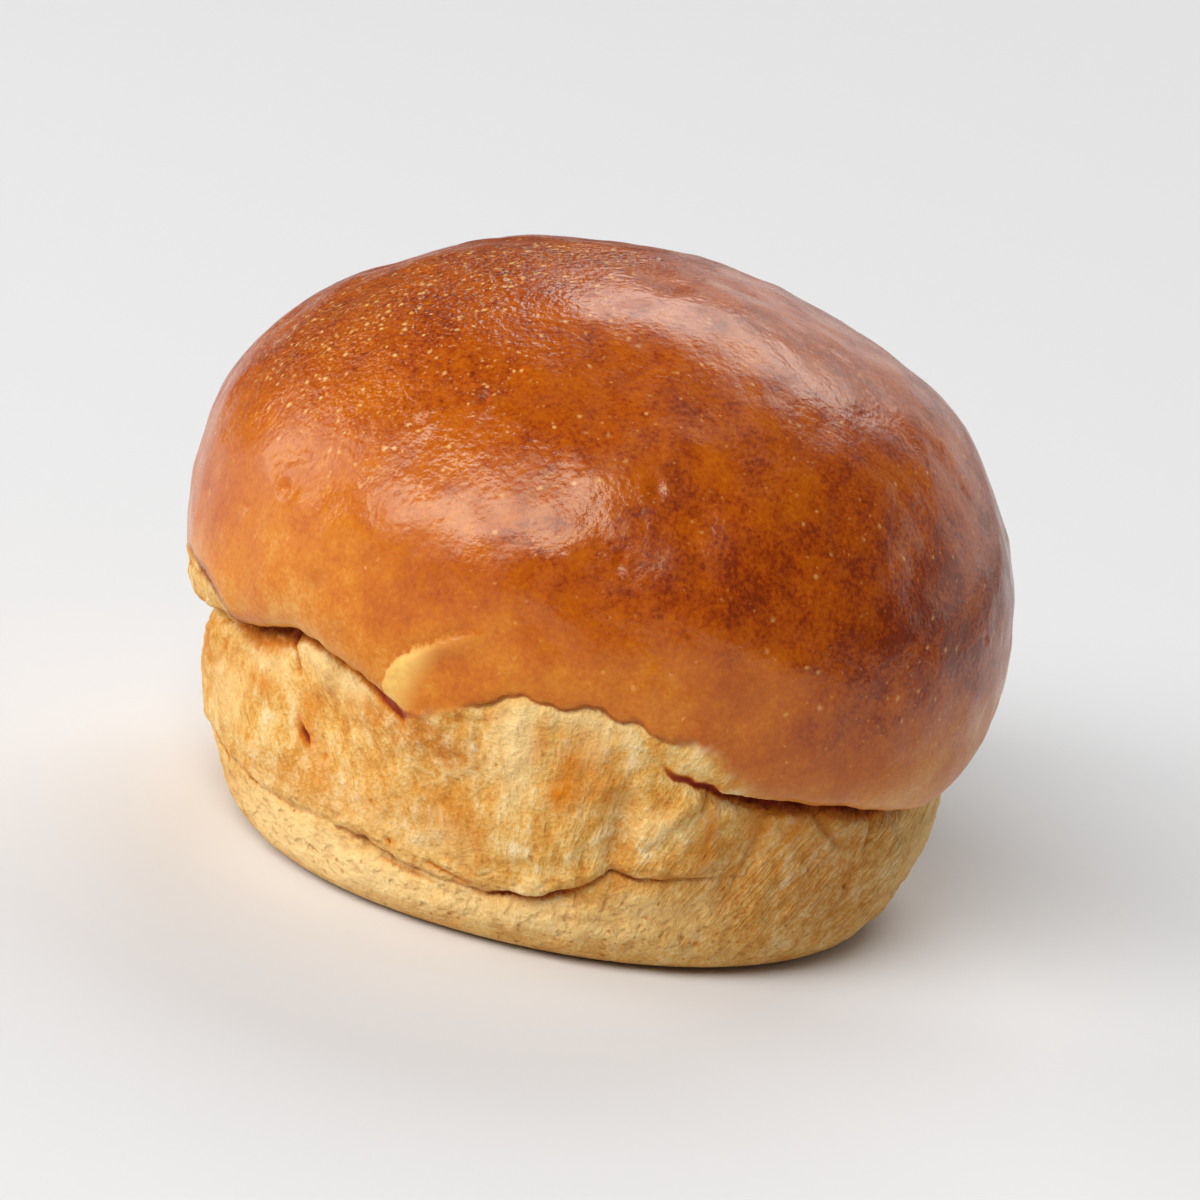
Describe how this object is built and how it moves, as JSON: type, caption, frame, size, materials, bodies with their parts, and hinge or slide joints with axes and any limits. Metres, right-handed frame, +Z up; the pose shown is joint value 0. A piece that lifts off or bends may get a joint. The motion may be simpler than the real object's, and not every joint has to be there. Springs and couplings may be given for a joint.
{
  "type": "bread roll",
  "caption": "Soft round bread roll: a glazed brown dome whose lip overhangs a pale, torn and folded side, with a flat underside to rest on.",
  "frame": {"origin": "middle of the footprint box, on the surface that the roll rests on", "axes": "+Z up through the dome, the side with the long torn face at -Y, +X to the right of that face"},
  "size_m": [0.0914, 0.0886, 0.067],
  "materials": {
    "baked_crust": "glazed brown crust on top, dry pale crumb at the side"
  },
  "bodies": {
    "root": {"bread_roll": "baked_crust"}
  },
  "joints": []
}
